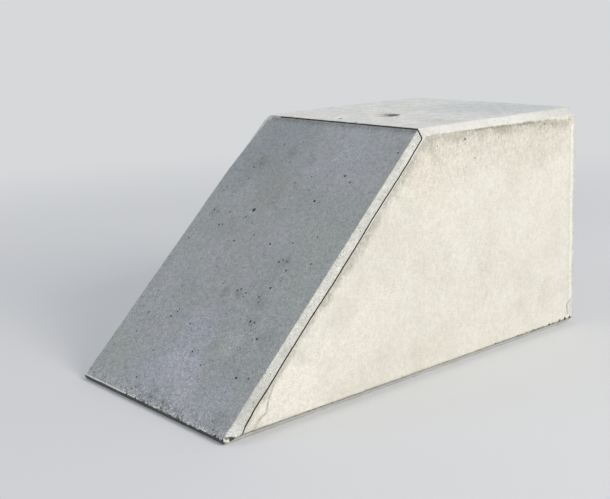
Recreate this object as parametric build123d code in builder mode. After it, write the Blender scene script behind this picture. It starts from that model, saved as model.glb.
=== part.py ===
"""Concrete kerb stone with a sloped nose, cast in one piece.

The stone stands on its flat base. Its length runs along Y with the slope facing -Y, its width along X
and its height along Z. The origin is on the base, midway along the length and the width.
"""

from build123d import *
import os

# Overall size, in millimetres
block_length = 1000
block_width = 500
block_height = 500

# Flat top, measured from the back face to the upper end of the slope
top_length = 500

# Blunt toe under the slope: its height, and how far it leans back under the slope
toe_height = 10
toe_undercut = 5

# Chamfer left by the mould's corner strips along the base, the slope and the top of both sides
edge_chamfer = 15

# Spherical lifting recess in the top: its mouth, its depth, its rim and its place behind the slope
recess_diameter = 74
recess_depth = 30
recess_rim_radius = 2
recess_setback = 140

front_y = -block_length / 2
back_y = block_length / 2
slope_top_y = back_y - top_length

# The slope's line runs on below the toe and meets the base in a sharp tip, which the toe cuts off
slope_run = slope_top_y - front_y
slope_rise = block_height - toe_height
tip_y = front_y - toe_height * slope_run / slope_rise

# The recess is part of a ball whose centre is above the top
ball_radius = (recess_diameter**2 / 4 + recess_depth**2) / (2 * recess_depth)
ball_centre_z = block_height - recess_depth + ball_radius
recess_y = slope_top_y + recess_setback

with BuildPart() as kerb_stone:
    # Long section: base, upright back, flat top and slope
    with BuildSketch(Plane.YZ.offset(-block_width / 2)):
        with BuildLine():
            Polyline(
                (tip_y, 0),
                (back_y, 0),
                (back_y, block_height),
                (slope_top_y, block_height),
                close=True,
            )
        make_face()
    extrude(amount=block_width)

    # The edges round the two sides are chamfered with mitred corners, and the upright back ones stay sharp
    side_faces = kerb_stone.faces().filter_by(Axis.X)
    side_edges = side_faces.edges().filter_by(Axis.Z, reverse=True)
    chamfer(side_edges, length=edge_chamfer)

    # The toe's face leans back from the end of the slope down to the base
    toe_face = Plane(
        origin=(0, front_y, toe_height),
        x_dir=(1, 0, 0),
        z_dir=(0, toe_height, toe_undercut),
    )
    split(bisect_by=toe_face, keep=Keep.TOP)

    # Lifting recess on the centre line of the top
    with Locations((0, recess_y, ball_centre_z)):
        Sphere(ball_radius, mode=Mode.SUBTRACT)
    rim = kerb_stone.edges().filter_by(GeomType.CIRCLE).group_by(Axis.Z)[-1]
    fillet(rim, radius=recess_rim_radius)

kerb_stone.part.label = "kerb_stone"

os.makedirs("parts", exist_ok=True)
export_step(kerb_stone.part, "parts/kerb_stone.step")
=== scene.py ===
import math

import bmesh
import bpy
import numpy as np
from mathutils import Matrix, Vector, noise


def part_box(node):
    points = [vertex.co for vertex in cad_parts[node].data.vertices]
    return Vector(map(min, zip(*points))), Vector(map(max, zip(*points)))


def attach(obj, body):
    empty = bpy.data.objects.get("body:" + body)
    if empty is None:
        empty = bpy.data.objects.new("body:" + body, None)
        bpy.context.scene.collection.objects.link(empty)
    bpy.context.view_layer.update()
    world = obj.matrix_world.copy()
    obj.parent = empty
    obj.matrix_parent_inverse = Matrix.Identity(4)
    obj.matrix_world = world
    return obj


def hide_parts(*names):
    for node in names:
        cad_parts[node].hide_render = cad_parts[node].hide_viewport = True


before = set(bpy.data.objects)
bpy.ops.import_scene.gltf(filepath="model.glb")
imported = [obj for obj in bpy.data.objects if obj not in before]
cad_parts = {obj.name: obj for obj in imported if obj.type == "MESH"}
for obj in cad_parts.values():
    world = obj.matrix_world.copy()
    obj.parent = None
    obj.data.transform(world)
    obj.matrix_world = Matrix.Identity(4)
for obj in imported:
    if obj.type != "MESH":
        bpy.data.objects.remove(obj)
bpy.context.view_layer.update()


# Camera, where the photograph was taken from.
# It stands off the stone's front right corner, a little above the top, and looks slightly down.
photo_columns = 610
photo_rows = 499
camera_place = Vector((1.63, -1.498, 0.739))
camera_heading = math.radians(49.22)
camera_tilt = math.radians(9.87)
camera_roll = math.radians(-1.68)
lens_length = 62.155
sensor_width = 36
lens_shift = -0.0975


def placed(name, data):
    """An object in the scene with this camera, lamp or mesh."""
    item = bpy.data.objects.new(name, data)
    bpy.context.scene.collection.objects.link(item)
    return item


camera_data = bpy.data.cameras.new("camera")
camera_data.lens = lens_length
camera_data.sensor_width = sensor_width
camera_data.shift_y = lens_shift
camera = placed("camera", camera_data)
camera_turn = (
    Matrix.Rotation(camera_heading, 3, "Z")
    @ Matrix.Rotation(math.pi / 2 - camera_tilt, 3, "X")
    @ Matrix.Rotation(camera_roll, 3, "Z")
)
camera.matrix_world = Matrix.Translation(camera_place) @ camera_turn.to_4x4()
bpy.context.scene.camera = camera


def seen_at(column, row, plane_point, plane_normal):
    """The point of one of the stone's faces that shows at a place in the photograph."""
    pixel_size = sensor_width / photo_columns
    sight = Vector((
        (column - photo_columns / 2) * pixel_size,
        (photo_rows / 2 - row) * pixel_size + lens_shift * sensor_width,
        -lens_length,
    ))
    sight = camera_turn @ sight
    reach = (plane_point - camera_place).dot(plane_normal) / sight.dot(plane_normal)
    return camera_place + sight * reach


# The cast block, one pour of pale concrete, without any steel or fixings that show.
# The mould gives it a flat base, an upright back, a flat top, a long sloped nose that ends in a blunt toe,
# and a chamfer along the base, the nose and the top of both sides.
stone_low, stone_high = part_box("kerb_stone")
front_y = stone_low.y
back_y = stone_high.y
half_width = stone_high.x
height = stone_high.z
top_length = 0.5
toe_height = 0.01
toe_undercut = 0.005
side_chamfer = 0.015

slope_top_y = back_y - top_length
slope_run = slope_top_y - front_y
slope_rise = height - toe_height
slope_length = math.hypot(slope_run, slope_rise)
slope_upward = Vector((0, slope_run, slope_rise)) / slope_length
slope_outward = Vector((0, -slope_rise, slope_run)) / slope_length
toe_ridge = Vector((0, front_y, toe_height))
flat_half_width = half_width - side_chamfer
strip_width = side_chamfer * math.sqrt(2)


def block_point(across, along, up):
    """A point of the plain block: metres across it, and shares of its length and of its height."""
    inset = max(0.0, abs(across) - flat_half_width)
    z = inset + (height - 2 * inset) * up
    slope_y = front_y + ((z - toe_height) * slope_run + inset * slope_length) / slope_rise
    toe_y = front_y + toe_undercut * (1 - z / toe_height)
    front = max(slope_y, toe_y)
    return Vector((across, front + (back_y - front) * along, z))


def eased_steps(count, end_share=0.18):
    """Shares from 0 to 1 that lie close together near both ends, where the edges are."""
    even = np.linspace(0, 1, count + 1)
    bunched = (1 - np.cos(math.pi * even)) / 2
    return end_share * even + (1 - end_share) * bunched


chamfer_steps = 8
flat_steps = 78
length_steps = 112
height_steps = 108
strip_across = np.linspace(flat_half_width, half_width, chamfer_steps + 1)
flat_across = flat_half_width * (2 * eased_steps(flat_steps) - 1)
across_lines = np.concatenate([-strip_across[:0:-1], flat_across, strip_across[1:]])
along_lines = eased_steps(length_steps)
up_lines = eased_steps(height_steps)
up_lines[np.argmin(abs(up_lines * height - toe_height))] = toe_height / height

# The joint in the mould, round the board that shaped the nose. It climbs near the outer edge of a side strip
# and crosses the strip to the top edge: (distance up the slope, distance out from the middle, thickness).
joint_outline = [
    (0.018, 0.2635, 1.0),
    (0.04, 0.2575, 1.3),
    (0.076, 0.2545, 1.5),
    (0.12, 0.255, 1.5),
    (0.165, 0.254, 1.3),
    (0.255, 0.2536, 1.2),
    (0.345, 0.2546, 1.1),
    (0.44, 0.2541, 1.2),
    (0.485, 0.2531, 1.1),
    (0.625, 0.2538, 0.9),
    (0.6854, 0.252, 1.2),
    (0.6978, 0.2345, 1.3),
]
joint_climbs = [climb for climb, reach, girth in joint_outline]
joint_reaches = [reach for climb, reach, girth in joint_outline]
panel_step = 0.0012


def nose_place(point):
    """Where a point of the nose lies: up the slope, and from the middle round onto the side strip."""
    reach = abs(point.x)
    if reach > flat_half_width:
        reach = flat_half_width + (reach - flat_half_width) * math.sqrt(2)
    return (point - toe_ridge).dot(slope_upward), reach


def inside_joint(point):
    """Whether a point of the nose lies inside the joint, where the nose board shaped it."""
    climb, reach = nose_place(point)
    return climb < joint_climbs[-1] and reach < np.interp(climb, joint_climbs, joint_reaches)


# The finishes that the mould leaves on the faces, and a near-black painted shade on the toe face, in the
# order of the piece's material slots, and how likely an air hole is on each
hole_chances = {
    "slope": 0.09,
    "nose_strip": 0.03,
    "top": 0.008,
    "edge_strip": 0.0,
    "side": 0.006,
    "base_strip": 0.02,
    "back": 0.02,
    "underside": 0.02,
    "toe_face": 0.0,
    "fin": 0.0,
}
finishes = list(hole_chances)
block_materials = {name: bpy.data.materials.new(name) for name in finishes}

# A thin fin of grout stands on the ridge of the toe, whole at the left end and in scraps further right.
# Right of it the slope above the ridge is crumbly, most of all close to the ridge.
fin_height = 0.0024
fin_end_x = -0.04
fin_taper = 0.035
scraps_per_metre = 120
crumbly_height = 0.028
crumbly_core = 0.01
crumbly_start_x = -0.1
crumbly_fade = 0.06
core_crumbs = 0.8
fringe_crumbs = 0.35
crumb_patches_across = 40
crumb_patches_up = 60
crumb_patch_level = 0.75
crumb_patch_swing = 0.9


def between(value, low, high):
    """How far a value has come from low to high, 0 to 1."""
    return min(max((value - low) / (high - low), 0.0), 1.0)


def eased_between(value, low, high):
    """How far a value has come from low to high, with a soft start and a soft end."""
    share = between(value, low, high)
    return share * share * (3 - 2 * share)


def fin_rise(x):
    """How far up the slope the fin reaches at a place across the toe."""
    whole = between(fin_end_x - x, 0, fin_taper)
    scraps = between(noise.noise(Vector((x * scraps_per_metre, 4.0, 0))), 0.02, 0.2)
    return fin_height * max(whole, scraps)


def crumb_share(climb, x):
    """How crumbly the slope is above the toe, 0 to 1."""
    core = 1 - between(climb, 0, crumbly_core)
    fringe = 1 - between(climb, 0, crumbly_height)
    patch = noise.noise(Vector((x * crumb_patches_across, climb * crumb_patches_up, 7)))
    patches = crumb_patch_level + crumb_patch_swing * patch
    begun = between(x, crumbly_start_x, crumbly_start_x + crumbly_fade)
    return min(max((core_crumbs * core + fringe_crumbs * fringe) * patches * begun, 0.0), 1.0)


def finish_of(axis, end, middle):
    """The finish of a small face of the block, from the sheet it belongs to and its middle."""
    on_strip = abs(middle.x) > flat_half_width
    if axis == 0:
        return "side"
    if axis == 1 and end == 0:
        climb, reach = nose_place(middle)
        if climb < 0:
            return "toe_face"
        if not on_strip:
            return "fin" if climb < fin_rise(middle.x) else "slope"
        return "nose_strip" if inside_joint(middle) else "edge_strip"
    if axis == 1:
        return "back"
    if end == 0:
        return "base_strip" if on_strip else "underside"
    return "edge_strip" if on_strip else "top"


block = bmesh.new()
hole_chance = block.faces.layers.float.new("hole_chance")
crumb_chance = block.faces.layers.float.new("crumb_chance")
lines = (across_lines, along_lines, up_lines)
corners = {}


def corner(place):
    """The block's vertex where three grid lines cross, made the first time it is asked for."""
    if place not in corners:
        shares = [lines[axis][index] for axis, index in enumerate(place)]
        corners[place] = block.verts.new(block_point(*shares))
    return corners[place]


for axis in range(3):
    first, second = [other for other in range(3) if other != axis]
    for end in (0, len(lines[axis]) - 1):
        for a in range(len(lines[first]) - 1):
            for b in range(len(lines[second]) - 1):
                ring = []
                for step_a, step_b in ((0, 0), (1, 0), (1, 1), (0, 1)):
                    place = [end, end, end]
                    place[first] = a + step_a
                    place[second] = b + step_b
                    ring.append(corner(tuple(place)))
                face = block.faces.new(ring)
                middle = face.calc_center_median()
                finish = finish_of(axis, end, middle)
                face.material_index = finishes.index(finish)
                face[hole_chance] = hole_chances[finish]
                climb, reach = nose_place(middle)
                face[crumb_chance] = crumb_share(climb, middle.x) if finish == "slope" else 0.0
bmesh.ops.recalc_face_normals(block, faces=block.faces)
block.normal_update()

# The faces are a little uneven, the nose lies a step lower inside the joint, and every edge is worn.
# The left edge of the nose is blunted towards the top.
noise.seed_set(3)
swell_size = 0.16
swell_depth = 0.0005
edge_angle = math.radians(20)
edge_wear = 0.0005
edge_wear_size = 0.012
least_edge_wear = 0.2
edge_wear_swing = 1.6
blunt_depth = 0.015
blunt_start = 0.52
blunt_top = slope_length
blunt_end = slope_length + 0.05
blunt_width = 0.06


def blunting(point):
    """How far a point near the top of the nose's left edge has been worn inwards."""
    climb, reach = nose_place(point)
    rising = eased_between(climb, blunt_start, blunt_top)
    along_edge = rising * (1 - eased_between(climb, blunt_top, blunt_end))
    inner = 1 - between(point.x, -flat_half_width, -flat_half_width + blunt_width)
    outer = between(point.x, -half_width, -flat_half_width)
    return blunt_depth * along_edge * min(inner, outer) if point.z > height / 2 else 0.0


moves = []
for vertex in block.verts:
    point = vertex.co
    move = noise.noise_vector(point / swell_size) * swell_depth
    climb, reach = nose_place(point)
    on_nose = abs((point - toe_ridge).dot(slope_outward)) < side_chamfer and climb > -1e-6
    on_fin = abs(point.x) <= flat_half_width and climb < fin_rise(point.x)
    if on_nose and inside_joint(point) and not on_fin:
        move -= slope_outward * panel_step
    move.x += blunting(point)
    if max(edge.calc_face_angle(0.0) for edge in vertex.link_edges) > edge_angle:
        roughness = noise.noise(point / edge_wear_size) + 0.5 * noise.noise(point / edge_wear_size * 3)
        move -= vertex.normal * edge_wear * max(least_edge_wear, 1 + edge_wear_swing * roughness)
    moves.append(move)
for vertex, move in zip(block.verts, moves):
    vertex.co += move
    vertex.co = [min(max(value, low), high) for value, low, high in zip(vertex.co, stone_low, stone_high)]

block_mesh = bpy.data.meshes.new("kerb_stone_cast")
block.to_mesh(block_mesh)
block.free()
for name in finishes:
    block_mesh.materials.append(block_materials[name])
kerb_stone = placed("kerb_stone_cast", block_mesh)


def plain_mesh(piece):
    """Turns a piece with modifiers into a plain mesh."""
    bpy.context.view_layer.update()
    evaluated = piece.evaluated_get(bpy.context.evaluated_depsgraph_get())
    mesh = bpy.data.meshes.new_from_object(evaluated)
    piece.modifiers.clear()
    piece.data = mesh
    return piece


def cut_away(hollow):
    """Takes the shape of a hollow out of the stone. The hollow's faces keep their own finish."""
    cut = kerb_stone.modifiers.new("cut", "BOOLEAN")
    cut.operation = "DIFFERENCE"
    cut.solver = "MANIFOLD"
    cut.material_mode = "TRANSFER"
    cut.object = hollow
    plain_mesh(kerb_stone)
    bpy.data.objects.remove(hollow)


# Air holes, left by bubbles that were caught against the mould.
# The ones that show best are where the photograph has them, and smaller ones are scattered between them.
# The toe is crumbly with small ones. Each is an uneven ball cut into the face.
nose_holes = [
    (254, 210, 10.5), (284.5, 144.5, 4.5), (303.5, 142, 3.5), (254, 167, 5.0), (261.5, 163.5, 3.0),
    (290, 162, 3.5), (345, 176, 6.0), (350, 182.5, 4.5), (314.5, 201, 7.0), (295, 183, 3.5),
    (285, 208.5, 3.5), (227, 186.5, 4.5), (224, 190.5, 3.0), (218, 197, 3.0), (214.5, 209.5, 5.5),
    (230, 212, 5.0), (246, 217, 4.5), (252, 223, 4.0), (219, 224.5, 6.0), (254, 235, 4.5),
    (234, 240.5, 6.0), (317.5, 237, 4.5), (270, 244, 6.0), (293, 243, 4.5), (279, 262, 5.5),
    (283, 260, 4.5), (287, 261.5, 4.5), (286, 270.5, 5.5), (311, 264, 4.5), (235, 261, 3.5),
    (217, 266, 3.5), (270.5, 288, 6.0), (237.5, 290.5, 5.0), (241, 289, 4.5), (246, 293, 4.5),
    (243, 296.5, 3.5), (259, 297, 5.0), (258.5, 302.5, 4.0), (149, 312, 5.5), (177.5, 311.5, 4.5),
    (179.5, 309, 4.0), (171, 316, 5.5), (190, 323.5, 5.0), (136.5, 331, 4.0), (250.5, 321.5, 6.0),
    (254.5, 322.5, 4.5), (257, 339, 6.0), (153.5, 350, 4.0), (192.5, 351.5, 5.0), (200.5, 365, 4.5),
    (136.5, 377, 5.0), (236, 378, 6.0), (173, 380, 3.5), (186.5, 380, 3.0), (154, 386, 3.5),
]
side_holes = [
    (544.5, 123.8, 4.0), (552, 123.8, 3.0), (465, 139, 5.0), (437.5, 146, 3.0), (475, 158, 3.5),
    (431, 233, 2.2),
]
hole_depth = 0.8
hole_share = 0.86
hole_keep_apart = 0.009
scatter_density = 60000.0
rarity_of_large_holes = 3.0
hole_stretch = (0.75, 1.3)


def place_node(tree, kind, inputs=None, **options):
    """Adds a node. Its inputs take plain values, other nodes or the outputs of other nodes."""
    node = tree.nodes.new(kind)
    for name, value in options.items():
        setattr(node, name, value)
    for key, value in (inputs or {}).items():
        if isinstance(value, bpy.types.Node):
            value = value.outputs[0]
        if isinstance(value, bpy.types.NodeSocket):
            tree.links.new(value, node.inputs[key])
        else:
            node.inputs[key].default_value = value
    return node


def work_out(tree, operation, *values, clamp=False):
    """The result of a Math node on these values or outputs."""
    node = place_node(tree, "ShaderNodeMath", dict(enumerate(values)), operation=operation, use_clamp=clamp)
    return node.outputs[0]


def work_out_vector(tree, operation, first, second=(0, 0, 0)):
    """The result of a Vector Math node: a vector, or a number for a length, a distance or a dot product."""
    socket = "Scale" if operation == "SCALE" else 1
    node = place_node(tree, "ShaderNodeVectorMath", {0: first, socket: second}, operation=operation)
    return node.outputs["Value" if operation in ("LENGTH", "DISTANCE", "DOT_PRODUCT") else "Vector"]


def map_range(tree, value, source=(0.0, 1.0), target=(0.0, 1.0), change="LINEAR"):
    """A value carried over from one range to another."""
    inputs = dict(zip(("Value", "From Min", "From Max", "To Min", "To Max"), (value, *source, *target)))
    return place_node(tree, "ShaderNodeMapRange", inputs, interpolation_type=change).outputs[0]


def random_pattern(tree, place, per_metre, detail, roughness=0.5):
    """A random pattern that changes smoothly from place to place, as a number and as a colour."""
    inputs = {"Scale": per_metre, "Detail": detail, "Roughness": roughness}
    if place:
        inputs["Vector"] = place
    return place_node(tree, "ShaderNodeTexNoise", inputs).outputs


def shift_by(tree, colour, amount):
    """A random colour turned into a shift in space, which goes either way by up to half the amount."""
    return work_out_vector(tree, "SCALE", work_out_vector(tree, "SUBTRACT", colour, (0.5, 0.5, 0.5)), amount)


def uneven_by(tree, place, per_metre, amount):
    """A random shift in space that changes smoothly from place to place."""
    return shift_by(tree, random_pattern(tree, place, per_metre, 3.0, 0.6)["Color"], amount)


def named_tree(name, kind, inputs, outputs):
    """A node tree with inputs and outputs, named by their kinds, and where these come in and go out."""
    tree = bpy.data.node_groups.new(name, kind)
    for way, sockets in (("INPUT", inputs), ("OUTPUT", outputs)):
        for value, names in sockets.items():
            for socket in names.split(", "):
                tree.interface.new_socket(socket, in_out=way, socket_type="NodeSocket" + value)
    return tree, tree.nodes.new("NodeGroupInput").outputs, tree.nodes.new("NodeGroupOutput").inputs


def shape_tree(name, **inputs):
    """A Geometry Nodes tree with a geometry in and out and the named inputs."""
    geometry = {"Geometry": "Geometry"}
    return named_tree(name, "GeometryNodeTree", {**geometry, **inputs}, geometry)


def end_shape(tree, geometry, finish, end):
    """Makes a tree's instances real, gives them their finish and puts them out."""
    real = place_node(tree, "GeometryNodeRealizeInstances", {"Geometry": geometry})
    finished = place_node(tree, "GeometryNodeSetMaterial", {"Geometry": real, "Material": finish})
    tree.links.new(finished.outputs[0], end["Geometry"])


def run_tree(piece, tree, values):
    """Runs a Geometry Nodes tree on a piece with these input values, and keeps the plain mesh."""
    modifier = piece.modifiers.new(tree.name, "NODES")
    modifier.node_group = tree
    for socket in tree.interface.items_tree:
        if socket.in_out == "INPUT" and socket.name in values:
            modifier[socket.identifier] = values[socket.name]
    return plain_mesh(piece)


def marked_piece(name, points, edges, attributes):
    """A piece of bare points and lines, whose points carry named values for a Geometry Nodes tree."""
    mesh = bpy.data.meshes.new(name)
    mesh.from_pydata(points, edges, [])
    for attribute, values in attributes.items():
        if isinstance(values[0], Vector):
            layer = mesh.attributes.new(attribute, "FLOAT_VECTOR", "POINT")
            layer.data.foreach_set("vector", [part for value in values for part in value])
        else:
            layer = mesh.attributes.new(attribute, "FLOAT", "POINT")
            layer.data.foreach_set("value", values)
    return placed(name, mesh)


def marked_points(name, places):
    """A piece of bare points for lumps to stand on: (point, outward direction, width)."""
    points, outwards, widths = zip(*places)
    return marked_piece(name, points, [], {"width": widths, "outward": outwards})


def carried(tree, name, kind="FLOAT"):
    """A named value that the points of a piece carry."""
    return place_node(tree, "GeometryNodeInputNamedAttribute", {"Name": name}, data_type=kind).outputs[0]


def random_value(tree, seed, low=0.0, high=1.0):
    """A random number for each point."""
    value = place_node(tree, "FunctionNodeRandomValue", {2: low, 3: high, "Seed": seed}, data_type="FLOAT")
    return value.outputs[1]


def mostly_small(tree, seed, rareness, smallest, largest):
    """A random width for each point. The larger it is, the rarer it is."""
    share = work_out(tree, "POWER", random_value(tree, seed), rareness)
    return map_range(tree, share, target=(smallest, largest))


def leave_out(tree, points, value, comparison, limit):
    """Takes away the points whose value lies on the given side of a limit."""
    unwanted = place_node(tree, "FunctionNodeCompare", {"A": value, "B": limit}, operation=comparison)
    inputs = {"Geometry": points, "Selection": unwanted}
    return place_node(tree, "GeometryNodeDeleteGeometry", inputs, domain="POINT")


lump_kinds = 6
lump_unevenness = 0.9
lump_dents = {"Scale": 1.5, "Detail": 2.0}
lump_kind_apart = 7.3


def uneven_lumps(tree):
    """Uneven balls, a metre across, for instances to pick from."""
    lumps = tree.nodes.new("GeometryNodeJoinGeometry")
    for number in range(lump_kinds):
        ball = place_node(tree, "GeometryNodeMeshUVSphere", {"Segments": 8, "Rings": 6, "Radius": 0.5})
        inputs = {"W": number * lump_kind_apart, **lump_dents}
        dents = place_node(tree, "ShaderNodeTexNoise", inputs, noise_dimensions="4D")
        moves = shift_by(tree, dents.outputs["Color"], lump_unevenness)
        dented = place_node(tree, "GeometryNodeSetPosition", {"Geometry": ball, "Offset": moves})
        lump = place_node(tree, "GeometryNodeGeometryToInstance", {0: dented})
        tree.links.new(lump.outputs[0], lumps.inputs[0])
    return lumps


def stand_lumps(tree, points, width, length_share, depth_share, finish, end):
    """Stands a lump on every point, facing outward and this wide, and joins lumps where they meet."""
    outward = carried(tree, "outward", "FLOAT_VECTOR")
    turn = place_node(tree, "FunctionNodeAlignRotationToVector", {"Vector": outward}, axis="Z")
    angle = random_value(tree, 11, 0.0, math.tau)
    spin = place_node(tree, "FunctionNodeAxisAngleToRotation", {"Axis": (0, 0, 1), "Angle": angle})
    turned = place_node(tree, "FunctionNodeRotateRotation", {0: turn, 1: spin}, rotation_space="LOCAL")
    proportions = place_node(tree, "ShaderNodeCombineXYZ", {"X": length_share, "Y": 1.0, "Z": depth_share})
    kinds = {4: 0, 5: lump_kinds - 1, "Seed": 3}
    choice = place_node(tree, "FunctionNodeRandomValue", kinds, data_type="INT")
    stood = place_node(tree, "GeometryNodeInstanceOnPoints", {
        "Points": points,
        "Instance": uneven_lumps(tree),
        "Pick Instance": True,
        "Instance Index": choice.outputs[2],
        "Rotation": turned,
        "Scale": work_out_vector(tree, "SCALE", proportions.outputs[0], width),
    })
    joining = {"operation": "UNION", "solver": "MANIFOLD"}
    end_shape(tree, place_node(tree, "GeometryNodeMeshBoolean", {"Mesh": stood}, **joining), finish, end)


hole_tree, start, end = shape_tree(
    "air_holes", Object="Surface", String="Chance", Float="Spacing, Smallest, Largest, Keep Apart, Depth",
    Int="Seed", Material="Finish",
)
surface = place_node(hole_tree, "GeometryNodeObjectInfo", {"Object": start["Surface"]})
scattered = place_node(hole_tree, "GeometryNodeDistributePointsOnFaces", {
    "Mesh": surface.outputs["Geometry"],
    "Distance Min": start["Spacing"],
    "Density Max": scatter_density,
    "Density Factor": carried(hole_tree, start["Chance"]),
    "Seed": start["Seed"],
}, distribute_method="POISSON")
nearest = place_node(hole_tree, "GeometryNodeProximity", {0: start["Geometry"]}, target_element="POINTS")
distance = nearest.outputs["Distance"]
points = leave_out(hole_tree, scattered.outputs["Points"], distance, "LESS_THAN", start["Keep Apart"])
width = mostly_small(hole_tree, start["Seed"], rarity_of_large_holes, start["Smallest"], start["Largest"])
for name, value, kind in (
    ("width", width, "FLOAT"),
    ("outward", scattered.outputs["Normal"], "FLOAT_VECTOR"),
):
    inputs = {"Geometry": points, "Name": name, "Value": value}
    points = place_node(hole_tree, "GeometryNodeStoreNamedAttribute", inputs, data_type=kind)
marks = place_node(hole_tree, "GeometryNodeJoinGeometry", {0: points})
chosen = place_node(hole_tree, "GeometryNodeMeshToPoints", {0: start["Geometry"]})
hole_tree.links.new(chosen.outputs[0], marks.inputs[0])
stretch = random_value(hole_tree, 5, *hole_stretch)
stand_lumps(hole_tree, marks, carried(hole_tree, "width"), stretch, start["Depth"], start["Finish"], end)

side_outward = Vector((1, 0, 0))
top_outward = Vector((0, 0, 1))


def on_slope(column, row):
    """The point of the sloped face that shows at a place in the photograph."""
    return seen_at(column, row, toe_ridge - slope_outward * panel_step, slope_outward)


def on_side(column, row):
    """The point of the right side that shows at a place in the photograph."""
    return seen_at(column, row, Vector((half_width, 0, 0)), side_outward)


def on_top(column, row):
    """The point of the top that shows at a place in the photograph."""
    return seen_at(column, row, Vector((0, 0, height)), top_outward)


hole_places = [
    (shown_at(column, row), outward, width / 1000 * hole_share)
    for holes, shown_at, outward in (
        (nose_holes, on_slope, slope_outward),
        (side_holes, on_side, side_outward),
    )
    for column, row, width in holes
]
hole_material = bpy.data.materials.new("air_hole")
air_holes = marked_points("air_holes", hole_places)
run_tree(air_holes, hole_tree, {
    "Surface": kerb_stone, "Chance": "hole_chance", "Spacing": 0.016, "Smallest": 0.0012, "Largest": 0.0042,
    "Keep Apart": hole_keep_apart, "Depth": hole_depth, "Seed": 4, "Finish": hole_material,
})
crumb_material = bpy.data.materials.new("crumbly_face")
crumbs = marked_piece("crumbs", [], [], {})
run_tree(crumbs, hole_tree, {
    "Surface": kerb_stone, "Chance": "crumb_chance", "Spacing": 0.0042, "Smallest": 0.0028, "Largest": 0.008,
    "Keep Apart": 0.0, "Depth": 0.7, "Seed": 9, "Finish": crumb_material,
})
cut_away(air_holes)
cut_away(crumbs)


# Lifting recess, a ball-shaped hollow in the top that a rubber former left.
# Its rim is eased, and its wall is rougher than the trowelled top round it.
recess_diameter = 0.074
recess_depth = 0.03
recess_rim_radius = 0.002
recess_y = slope_top_y + 0.14
recess_segments = 56
recess_rings = 16
rim_rings = 4
recess_roughness = 0.0004
recess_grain = 0.006

ball_radius = (recess_diameter**2 / 4 + recess_depth**2) / (2 * recess_depth)
ball_centre_z = height - recess_depth + ball_radius
rim_centre_z = height - recess_rim_radius
rim_drop = ball_centre_z - rim_centre_z
rim_centre_radius = math.sqrt((ball_radius + recess_rim_radius) ** 2 - rim_drop**2)
rim_start = math.atan2(rim_drop, -rim_centre_radius)
ball_end = math.atan2(rim_centre_radius, rim_drop)

recess_profile = []
for angle in np.linspace(0, ball_end, recess_rings + 1)[1:]:
    recess_profile.append((ball_radius * math.sin(angle), ball_centre_z - ball_radius * math.cos(angle)))
for angle in np.linspace(rim_start, math.pi / 2, rim_rings + 1)[1:]:
    rim_x = rim_centre_radius + recess_rim_radius * math.cos(angle)
    recess_profile.append((rim_x, rim_centre_z + recess_rim_radius * math.sin(angle)))
recess_profile.append((recess_profile[-1][0], height + recess_rim_radius))

recess = bmesh.new()
rings = []
for radius, z in recess_profile:
    ring = []
    for turn in range(recess_segments):
        angle = math.tau * turn / recess_segments
        point = Vector((radius * math.cos(angle), recess_y + radius * math.sin(angle), z))
        if z < rim_centre_z:
            point += noise.noise_vector(point / recess_grain) * recess_roughness
        ring.append(recess.verts.new(point))
    rings.append(ring)
for lower, upper in zip(rings, rings[1:]):
    for turn in range(recess_segments):
        following = (turn + 1) % recess_segments
        recess.faces.new((lower[turn], lower[following], upper[following], upper[turn]))
recess.faces.new(rings[0])
recess.faces.new(rings[-1])
bmesh.ops.recalc_face_normals(recess, faces=recess.faces)
recess_mesh = bpy.data.meshes.new("lifting_recess")
recess.to_mesh(recess_mesh)
recess.free()
# The recess's finish, made below, carries painted shade and painted light as well as its own tone
recess_material_painted_shade_and_light = bpy.data.materials.new("recess_wall_painted_shade_and_light")
recess_mesh.materials.append(recess_material_painted_shade_and_light)
cut_away(placed("lifting_recess", recess_mesh))


# Mould joint, the dark crevice where the nose board met the rest of the mould.
# Grout bled out of it, so it is open and a little wavy; its dark grey is dirt together with painted shade in
# the crevice.
joint_width = 0.0028
joint_depth = 0.004
joint_wander = 0.0012
joint_step = 0.004
joint_taper = 0.02
joint_end_share = 0.25
joint_waves_per_metre = 28.0
joint_swells_per_metre = 60.0
joint_swelling = (0.55, 1.45)


def on_nose(climb, reach):
    """The point and the outward direction of the nose, its side strip or the side face beyond."""
    sideways = Vector((1 if reach > 0 else -1, 0, 0))
    reach = abs(reach)
    point = toe_ridge + slope_upward * climb
    if reach <= flat_half_width:
        return point + sideways * reach, slope_outward
    point += sideways * flat_half_width
    reach -= flat_half_width
    if reach <= strip_width:
        outward = (sideways + slope_outward).normalized()
        return point + (sideways - slope_outward) * reach / math.sqrt(2), outward
    point += (sideways - slope_outward) * side_chamfer
    return point - slope_outward * (reach - strip_width), sideways


joint_tree, start, end = shape_tree(
    "mould_joint", Float="Width, Depth, Wander, Step, End Taper", Material="Finish"
)
curve = place_node(joint_tree, "GeometryNodeMeshToCurve", {"Mesh": start["Geometry"]})
steps = {"Curve": curve, "Length": start["Step"]}
curve = place_node(joint_tree, "GeometryNodeResampleCurve", steps, mode="LENGTH")
wave = uneven_by(joint_tree, None, joint_waves_per_metre, start["Wander"])
curve = place_node(joint_tree, "GeometryNodeSetPosition", {"Geometry": curve, "Offset": wave})
outward = carried(joint_tree, "outward", "FLOAT_VECTOR")
curve = place_node(joint_tree, "GeometryNodeSetCurveNormal", {"Curve": curve, "Normal": outward}, mode="FREE")

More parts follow.
